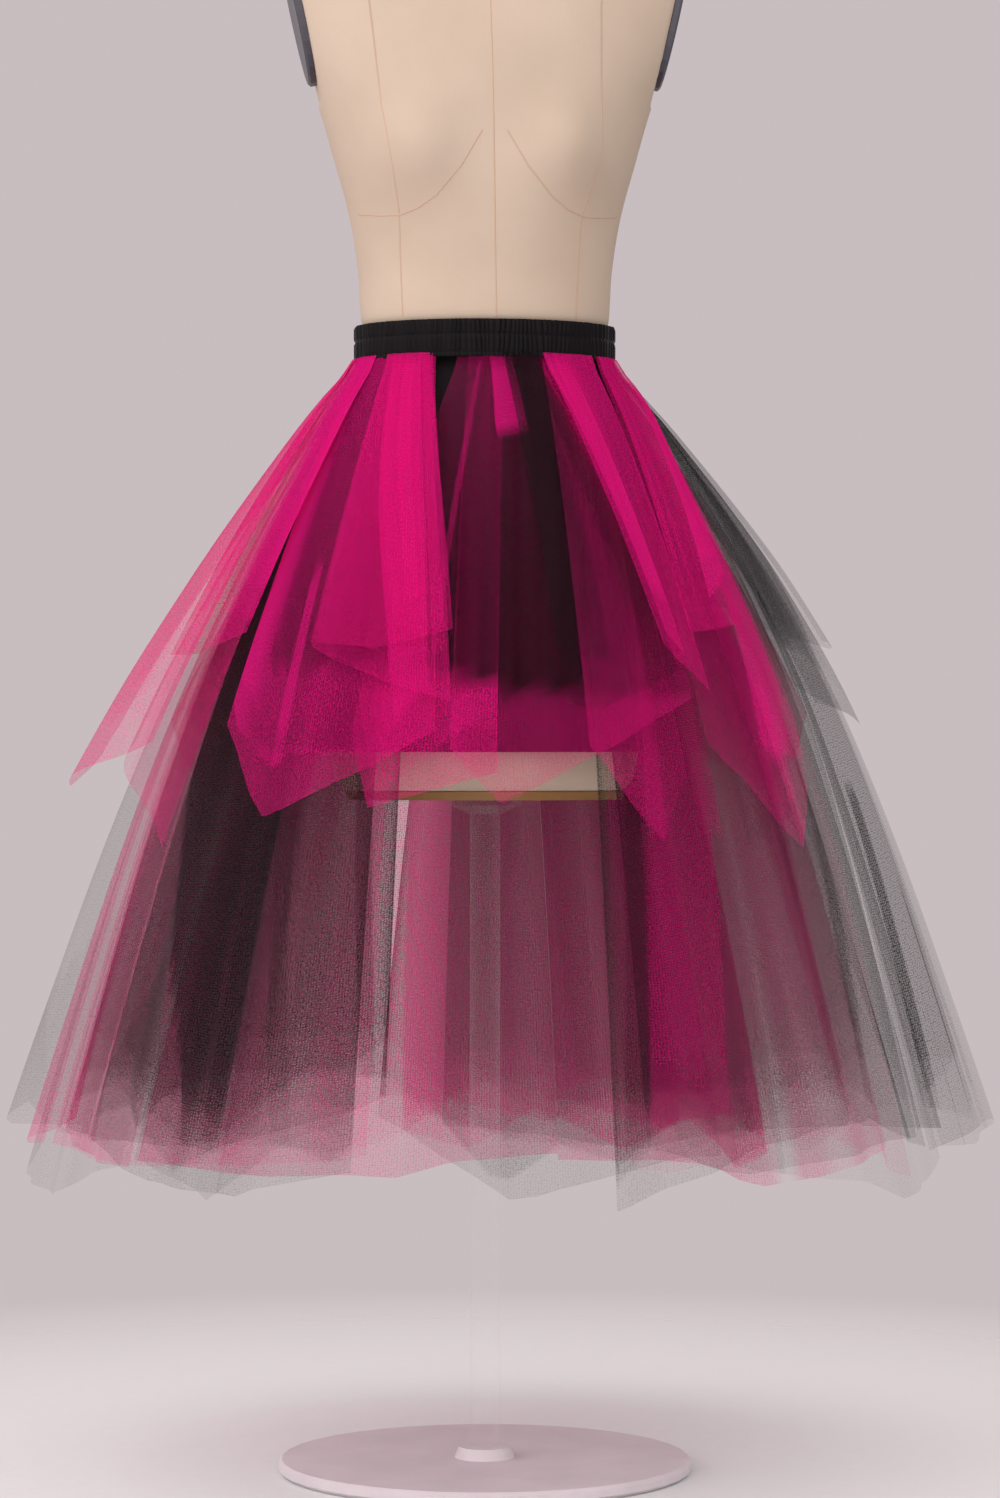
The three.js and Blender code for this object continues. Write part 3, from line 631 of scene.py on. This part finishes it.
def panel_piece(panel, number):
    """One tulle panel: the solid's surface, with sharper folds, wrinkles and pressed pleats."""
    chance = np.random.default_rng(1000 + number)
    long_one = panel["layer"] < LONG_LAYERS
    columns, rows = LONG_GRID if long_one else SHORT_GRID
    across = np.linspace(0, 1, columns)[:, None]
    down = rows_down(rows)[None, :]
    hem = hem_drop(panel, across)
    if long_one:
        hem = hem + HEM_TIPS * (np.abs((across * TIPS_ACROSS + chance.uniform(0, 2)) % 2 - 1) - 0.6)
    drop = hem * down
    reach = swing(drop) / swing((panel["drops"][0] + panel["drops"][2]) / 2)
    at_top = panel["top"][0] + (panel["top"][1] - panel["top"][0]) * across
    at_hem = panel["hem"][0] + (panel["hem"][1] - panel["hem"][0]) * across
    angle = at_top + (at_hem - at_top) * reach
    radius = panel_radius(panel, chance, angle, across, drop, down)
    points = place(angle, radius, SKIRT_TOP - drop)
    points[:, 0, 2] += TUCK * MM
    hem_line = points[:, -1, :2]
    hem_width = float(np.linalg.norm(np.diff(hem_line, axis=0), axis=1).sum())
    cloth = cloth_amount(panel, chance, across, drop, hem_width / MM)
    piece = grid_object("net_" + panel["name"], points, NETS[panel["net"]], cloth=cloth)
    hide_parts(panel["name"])
    length = longest_line(points)
    area = grid_area(points) / SEEN_SHARE
    width = max(hem_width, area / length * 1.01)
    area = max(area, LEAST_AREA * width * length)


for number, row in enumerate(PANELS):
    panel_piece(dict(zip(PANEL_KEYS, row)), number)


def lining_piece():
    """The opaque lining, with soft folds as in the solid."""
    around = np.linspace(0, 1, 361)[:-1, None]
    drop = (np.linspace(0, 1, 70)[None, :] ** 1.1) * LINING_HEM
    angle = 360 * around + 0 * drop
    side, front, back = (spline(LINING_SECTIONS, "drop", key, drop) for key in ("side", "front", "back"))
    fold = LINING_FOLD_DEPTH * (drop / LINING_HEM) * np.cos(np.radians(LINING_FOLDS * angle + 35))
    crease = LINING_CREASE_DEPTH * np.cos(np.radians(LINING_CREASES * angle + 100)) * smooth(drop / 80)
    radius = oval(angle, side, side, front, back) + fold + crease
    points = place(angle, radius, SKIRT_TOP - drop)
    points[:, 0, 2] += TUCK * MM
    piece = grid_object("lining", points, lining_material(), closed=True)
    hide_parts("lining_skirt")


def band_piece():
    """The waistband: an elastic casing of satin, gathered on two rows of stitches, plain inside."""
    chance = np.random.default_rng(7)
    angle = np.linspace(0, 360, GATHERS * 8, endpoint=False)[:, None]
    turn = np.radians(angle)
    below = np.array(BAND_ROWS)
    pressed = sum(np.exp(-(((below - row) / half) ** 2)) for row, half in STITCH_ROWS)
    stitched = 1 - STITCH_PRESS * pressed[None, :]
    phase = angle / 360 * GATHERS + 0.16 * np.cos(17 * turn) + 0.1 * np.cos(41 * turn + math.radians(60))
    height = 1 + 0.35 * np.cos(2 * math.pi * chance.uniform() + 29 * turn)
    lean = 0.25 * np.sin(11 * turn) * (below[None, :] - 20) / 14
    ridge = np.abs(np.cos(np.pi * (phase + lean))) ** 0.7 * height
    valleys = oval(angle, BAND_SIDE, BAND_SIDE, BAND_FRONT, BAND_FRONT)
    outer = valleys + 0.15 + GATHER_DEPTH * ridge * stitched
    rounding = np.where((below < 1) | (below > BAND_HEIGHT - 0.5), -0.7, 0)[None, :]
    outside = place(angle + 0 * outer, outer + rounding, BAND_TOP - below[None, :] + 0 * outer)
    inner = valleys - BAND_WALL + np.zeros((1, 3))
    inner_heights = BAND_TOP - np.array([[BAND_HEIGHT - 0.4, BAND_HEIGHT / 2, 0.4]])
    inside = place(angle + 0 * inner, inner, inner_heights + 0 * inner)
    points = np.concatenate([outside, inside, outside[:, :1]], 1)
    piece = grid_object("gathered_band", points, satin_material(), closed=True)
    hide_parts("waistband")


# The dress form's half width, front and back at each height, its bust and its armhole planes, as in the solid
FORM_SECTIONS = {
    "height": (
        625, 640, 700, 780, 850, 930, 985, 1016, 1033, 1046, 1056, 1102, 1152, 1200, 1260, 1310, 1350, 1385,
        1412, 1430, 1445, 1465, 1490,
    ),
    "side": (
        129, 138, 146, 157, 163, 148, 123, 106, 105.5, 111, 114, 117, 125, 138, 156, 178, 193, 192,
        168, 120, 74, 60, 57,
    ),
    "front": (
        89, 97, 103, 105, 103, 98, 88, 77, 77, 83, 88, 91, 98, 103, 104, 98, 88, 73,
        61, 53, 48, 48, 50,
    ),
    "back": (
        91, 98, 108, 118, 124, 113, 91, 77, 76, 82, 84, 85, 89, 94, 99, 103, 103, 98,
        85, 71, 58, 52, 52,
    ),
}
FORM_LOW = FORM_SECTIONS["height"][0]
FORM_HIGH = FORM_SECTIONS["height"][-1]
BUST = {"across": 74, "height": 1204, "wide": 40, "high": 46, "rise": 24}
ARMHOLE = {"low": 1255, "low_side": 151, "lean": 0.22}


def form_points(angle, height):
    """Points of the form's surface in metres, at angles in degrees and heights in millimetres."""
    side, front, back = (spline(FORM_SECTIONS, "height", key, height) for key in ("side", "front", "back"))
    points = place(angle, oval(angle, side, side, front, back), height) / MM
    off_centre = (np.abs(points[..., 0]) - BUST["across"]) / BUST["wide"]
    off_height = (height - BUST["height"]) / BUST["high"]
    rise = BUST["rise"] * np.exp(-(off_centre**2) - off_height**2)
    points[..., 1] -= np.where(points[..., 1] < 0, rise, 0)
    plane = ARMHOLE["low_side"] + (height - ARMHOLE["low"]) * ARMHOLE["lean"]
    limit = np.where(height < ARMHOLE["low"], np.inf, plane) + 0 * points[..., 0]
    points[..., 0] = np.clip(points[..., 0], -limit, limit)
    return points * MM


def torso_piece():
    """The form's body, closed at its lower edge and its neck."""
    angle = np.linspace(0, 360, 256, endpoint=False)[:, None]
    height = np.concatenate([[FORM_LOW], np.linspace(FORM_LOW + 0.6, FORM_HIGH, 190)])[None, :]
    skin = form_points(angle + 0 * height, height + 0 * angle)
    skin[:, 0, :2] *= 0.985
    low = skin[:, :1] * np.array([0, 0, 1.0])
    high = skin[:, -1:] * np.array([0, 0, 1.0])
    piece = grid_object("torso", np.concatenate([low, skin, high], 1), LINEN, closed=True)
    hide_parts("form_torso")


# Across a seam's strip: how far from its middle each line of points is, and how far off the form
SEAM_SECTION = ((-0.8, -0.1), (-0.4, 0.35), (0.4, 0.35), (0.8, -0.1))


def seam_piece(name, across, height, back=False):
    """A stitched seam: a narrow strip on the form, through points given by how far across and how high."""
    steps = np.linspace(0, 1, 90)
    lengths = np.hypot(np.diff(across), np.diff(height))
    places = np.concatenate([[0], np.cumsum(lengths)]) / lengths.sum()
    x = np.interp(steps, places, across)
    z = np.interp(steps, places, height)
    angles = np.linspace(90, 270, 721) if back else np.linspace(-90, 90, 721)
    centre = []
    for x_here, z_here in zip(x, z):
        ring = form_points(angles, np.full(721, z_here)) / MM
        order = np.argsort(ring[:, 0])
        centre.append([x_here, np.interp(x_here, ring[order, 0], ring[order, 1]), z_here])
    centre = np.array(centre)
    along = np.gradient(centre, axis=0)
    outward = centre * np.array([1, 1, 0])
    outward /= np.linalg.norm(outward, axis=1)[:, None]
    aside = np.cross(along, outward)
    aside /= np.linalg.norm(aside, axis=1)[:, None]
    strip = [centre + aside * half + outward * lift for half, lift in SEAM_SECTION]
    piece = grid_object(name, np.stack(strip, 1) * MM, seam_material())


lining_piece()
band_piece()
torso_piece()

# The form's seams: how far across and how high each passes, as measured in the photo
SEAMS = {
    "seam_centre_front": ((5, -3, -1, 3), (1489, 1334, 1217, 1052)),
    "seam_front_left": ((-122, -111, -100, -84, -80), (1440, 1334, 1238, 1146, 1054)),
    "seam_front_right": ((109, 99, 98, 81, 77), (1440, 1334, 1200, 1142, 1051)),
    "seam_bust_left": ((-11.5, -30, -52, -68, -83, -100, -118), (1217, 1186, 1160, 1149, 1144, 1145, 1149)),
    "seam_bust_right": ((11.5, 30, 52, 68, 83, 100, 118), (1217, 1186, 1160, 1149, 1144, 1145, 1149)),
}
BACK_SEAMS = {
    "seam_centre_back": ((0, 0, 0), (1489, 1300, 1052)),
    "seam_back_left": ((-100, -92, -82, -70, -64), (1400, 1300, 1204, 1140, 1052)),
    "seam_back_right": ((100, 92, 82, 70, 64), (1400, 1300, 1204, 1140, 1052)),
}
for name, (across, height) in SEAMS.items():
    seam_piece(name, across, height)
for name, (across, height) in BACK_SEAMS.items():
    seam_piece(name, across, height, back=True)

# The hard parts keep their meshes and get their finishes
for name, node in frame["nodes"].items():
    slot_name = next((s["material_slot"] for s in frame["record"]["subparts"] if s["node"] == name), None)
    if slot_name in FINISHES and not node.hide_render:
        node.data.materials.clear()
        node.data.materials.append(FINISHES[slot_name])
        node.data.polygons.foreach_set("use_smooth", np.zeros(len(node.data.polygons), bool))


def floor():
    """A round patch of pale floor that fades out, so that it has no edge in the picture."""
    s = Shader("pale_floor")
    place_on = s.node("TexCoord").outputs["Object"]
    distance = s.node("VectorMath", Vector=place_on)
    distance.operation = "LENGTH"
    shown = s.between(distance.outputs["Value"], 1.0, 0.0, 0.35, 1.3)
    speckle = s.noise(place_on, 60.0, 3.0)
    shade = s.blend_colours(speckle, (0.81, 0.85, 0.84, 1), (0.85, 0.89, 0.88, 1))
    matt = s.node("BsdfPrincipled", Base_Color=shade, Roughness=0.9, Specular_IOR_Level=0.1)
    fading = s.node("MixShader", Fac=shown)
    s.links.new(s.node("BsdfTransparent").outputs[0], fading.inputs[1])
    s.links.new(matt.outputs[0], fading.inputs[2])
    turn = np.linspace(0, 2 * math.pi, 96, endpoint=False)[:, None]
    radius = np.linspace(0, 1.35, 12)[None, :]
    points = np.stack([radius * np.sin(turn), radius * np.cos(turn), 0 * radius * turn - 0.0005], -1)
    patch = grid_object("floor", points, s.finish(fading.outputs[0]), closed=True)


floor()

scene = bpy.context.scene
scene.cycles.transparent_max_bounces = 48
scene.cycles.max_bounces = 2
scene.view_settings.view_transform = "Standard"

# The camera stands level with the front hem, a little to the skirt's left
camera = bpy.data.cameras.new("camera")
camera.lens = camera.sensor_width * FOCAL_PIXELS / LONG_SIDE_PIXELS
camera_object = bpy.data.objects.new("camera", camera)
scene.collection.objects.link(camera_object)
scene.camera = camera_object
back = Vector((math.sin(CAMERA_TURN), -math.cos(CAMERA_TURN), 0))
right = Vector((math.cos(CAMERA_TURN), math.sin(CAMERA_TURN), 0))
camera_object.location = back * CAMERA_DISTANCE + right * CAMERA_ASIDE + Vector((0, 0, CAMERA_HEIGHT))
camera_object.rotation_euler = (math.pi / 2, 0, CAMERA_TURN)


def studio_world():
    """Soft light from all round, as pale as the photo's background, and brighter from BRIGHT_SIDE."""
    world = bpy.data.worlds.new("studio")
    world.use_nodes = True
    nodes = world.node_tree.nodes
    links = world.node_tree.links
    direction = nodes.new("ShaderNodeTexCoord").outputs["Generated"]
    facing = nodes.new("ShaderNodeVectorMath")
    facing.operation = "DOT_PRODUCT"
    facing.inputs[1].default_value = Vector(BRIGHT_SIDE).normalized()
    links.new(direction, facing.inputs[0])
    value = facing.outputs["Value"]
    for operation, amounts in (("MAXIMUM", (0.0,)), ("MULTIPLY_ADD", (BRIGHTER, 1.0))):
        step = nodes.new("ShaderNodeMath")
        step.operation = operation
        links.new(value, step.inputs[0])
        for socket, amount in zip(step.inputs[1:], amounts):
            socket.default_value = amount
        value = step.outputs[0]
    background = nodes["Background"]
    background.inputs["Color"].default_value = BACKGROUND
    links.new(value, background.inputs["Strength"])
    world.cycles.sampling_method = "NONE"
    scene.world = world


studio_world()


def area_light(name, where, aim, size, power, colour, spread):
    """A round lamp at a place in metres, aimed at a point, with its beam's width in degrees."""
    lamp = bpy.data.lights.new(name, "AREA")
    lamp.shape = "DISK"
    lamp.size = size
    lamp.energy = power
    lamp.color = colour
    lamp.spread = math.radians(spread)
    lamp_object = bpy.data.objects.new(name, lamp)
    lamp_object.location = where
    lamp_object.rotation_euler = (Vector(aim) - Vector(where)).to_track_quat("-Z", "Y").to_euler()
    scene.collection.objects.link(lamp_object)


area_light("key", (-1.9, -2.6, 2.2), (0, -0.05, 1.34), 0.5, 0.1, (1, 0.96, 0.9), 20)
